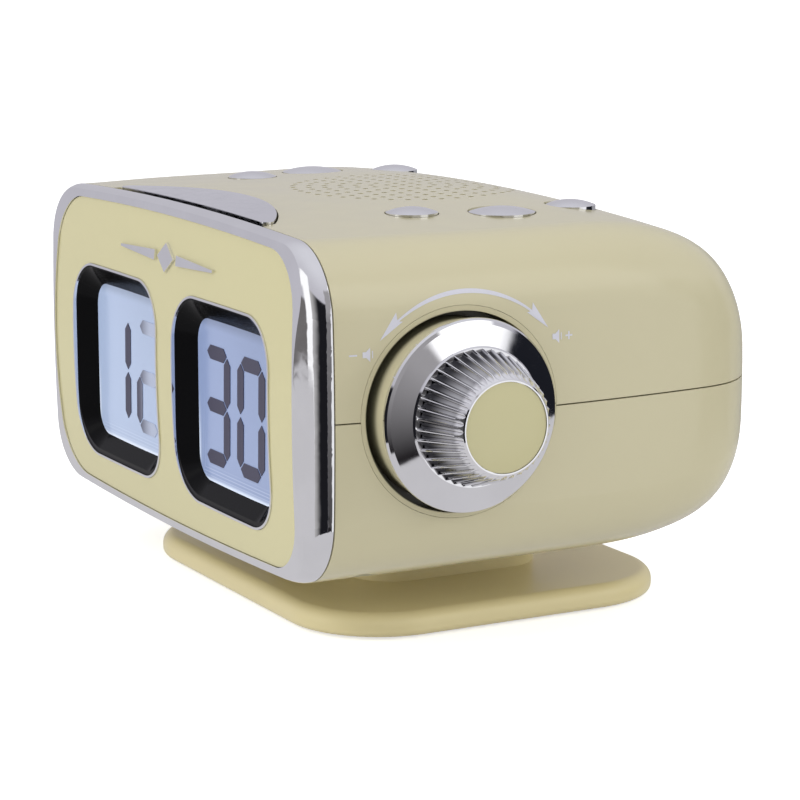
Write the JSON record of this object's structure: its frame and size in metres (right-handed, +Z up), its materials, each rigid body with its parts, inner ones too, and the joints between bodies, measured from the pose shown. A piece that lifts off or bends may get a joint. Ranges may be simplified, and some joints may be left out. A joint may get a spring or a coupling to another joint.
{
  "type": "clock radio",
  "caption": "Retro table clock radio: two lit figure windows in a chrome frame, side knobs, domed top buttons and snooze bar, on a low pedestal foot.",
  "frame": {"origin": "on the ground under the middle of the radio's overall box", "axes": "+X to the right of a person facing the clock, along the knob axis; +Y to the back; +Z up"},
  "size_m": [0.2436, 0.1465, 0.1179],
  "materials": {
    "housing": "gloss cream",
    "face": "gloss cream",
    "bezel": "polished",
    "ornament": "polished",
    "trim": "polished",
    "display_frame": "gloss black",
    "lcd_glass": "clear",
    "backlight": "lit pale blue",
    "figures": "dark print",
    "circuit_board": "lacquer",
    "snooze": "satin chrome",
    "black_plastic": "matt black",
    "button": "polished",
    "switches": "matt",
    "steel": "zinc plated",
    "paper_cone": "black paper",
    "magnet": "dull grey",
    "cloth": "black cloth",
    "recess": "gloss cream",
    "knob_skirt": "satin chrome",
    "knob_grip": "polished",
    "knob_cap": "gloss cream",
    "components": "mixed",
    "rubber": "matt black",
    "ferrite": "dull",
    "copper": "enamelled wire",
    "foot": "gloss cream",
    "brass": "nickel plated"
  },
  "bodies": {
    "housing": {"antenna_coil": "copper", "antenna_gland": "rubber", "aux_jack": "black_plastic", "backlight_left": "backlight", "backlight_right": "backlight", "base_foot": "foot", "base_screws": "steel", "battery_box": "black_plastic", "battery_contacts": "brass", "board_parts": "components", "case_screws": "steel", "dc_jack": "black_plastic", "display_board": "circuit_board", "display_frame_left": "display_frame", "display_frame_right": "display_frame", "ferrite_rod": "ferrite", "foot_neck": "foot", "front_bezel": "bezel", "front_ornament": "ornament", "front_panel": "face", "grille_cloth": "cloth", "hour_digits": "figures", "key_board_left": "circuit_board", "key_board_right": "circuit_board", "key_switches": "switches", "lcd_glass_left": "lcd_glass", "lcd_glass_right": "lcd_glass", "lower_shell": "housing", "main_board": "circuit_board", "minute_digits": "figures", "neck_clamp": "steel", "rod_holders": "black_plastic", "rubber_feet": "rubber", "snooze_bracket": "black_plastic", "speaker_basket": "steel", "speaker_cone": "paper_cone", "speaker_magnet": "magnet", "tuning_encoder": "steel", "tuning_recess": "recess", "upper_shell": "housing", "volume_encoder": "steel", "volume_recess": "recess", "window_trim_left": "trim", "window_trim_right": "trim"},
    "snooze": {"snooze_bar": "snooze"},
    "front_left_button": {"button_front_left": "button"},
    "front_right_button": {"button_front_right": "button"},
    "middle_left_button": {"button_middle_left": "button"},
    "middle_right_button": {"button_middle_right": "button"},
    "rear_left_button": {"button_rear_left": "button"},
    "rear_right_button": {"button_rear_right": "button"},
    "volume_knob": {"volume_skirt": "knob_skirt", "volume_grip": "knob_grip", "volume_cap": "knob_cap", "volume_shaft": "steel"},
    "tuning_knob": {"tuning_skirt": "knob_skirt", "tuning_grip": "knob_grip", "tuning_cap": "knob_cap", "tuning_shaft": "steel"},
    "battery_cover": {"battery_door": "foot"}
  },
  "joints": [
    {"name": "snooze_press", "type": "slide", "parent": "housing", "child": "snooze", "axis": [0, 0, -1], "range_m": [0, 0.001], "stiffness_N_per_m": 500, "springref_m": -0.001},
    {"name": "front_left_button_press", "type": "slide", "parent": "housing", "child": "front_left_button", "axis": [0, 0, -1], "range_m": [0, 0.001], "stiffness_N_per_m": 500, "springref_m": -0.001},
    {"name": "front_right_button_press", "type": "slide", "parent": "housing", "child": "front_right_button", "axis": [0, 0, -1], "range_m": [0, 0.001], "stiffness_N_per_m": 500, "springref_m": -0.001},
    {"name": "middle_left_button_press", "type": "slide", "parent": "housing", "child": "middle_left_button", "axis": [0, 0, -1], "range_m": [0, 0.001], "stiffness_N_per_m": 500, "springref_m": -0.001},
    {"name": "middle_right_button_press", "type": "slide", "parent": "housing", "child": "middle_right_button", "axis": [0, 0, -1], "range_m": [0, 0.001], "stiffness_N_per_m": 500, "springref_m": -0.001},
    {"name": "rear_left_button_press", "type": "slide", "parent": "housing", "child": "rear_left_button", "axis": [0, 0, -1], "range_m": [0, 0.001], "stiffness_N_per_m": 500, "springref_m": -0.001},
    {"name": "rear_right_button_press", "type": "slide", "parent": "housing", "child": "rear_right_button", "axis": [0, 0, -1], "range_m": [0, 0.001], "stiffness_N_per_m": 500, "springref_m": -0.001},
    {"name": "volume_turn", "type": "hinge", "parent": "housing", "child": "volume_knob", "pos_m": [0, -0.0307, 0.0691], "axis": [1, 0, 0], "continuous": true},
    {"name": "tuning_turn", "type": "hinge", "parent": "housing", "child": "tuning_knob", "pos_m": [0, -0.0307, 0.0691], "axis": [-1, 0, 0], "continuous": true},
    {"name": "battery_door_lift", "type": "slide", "parent": "housing", "child": "battery_cover", "axis": [0, 0, -1], "range_m": [0, 0.02]}
  ]
}
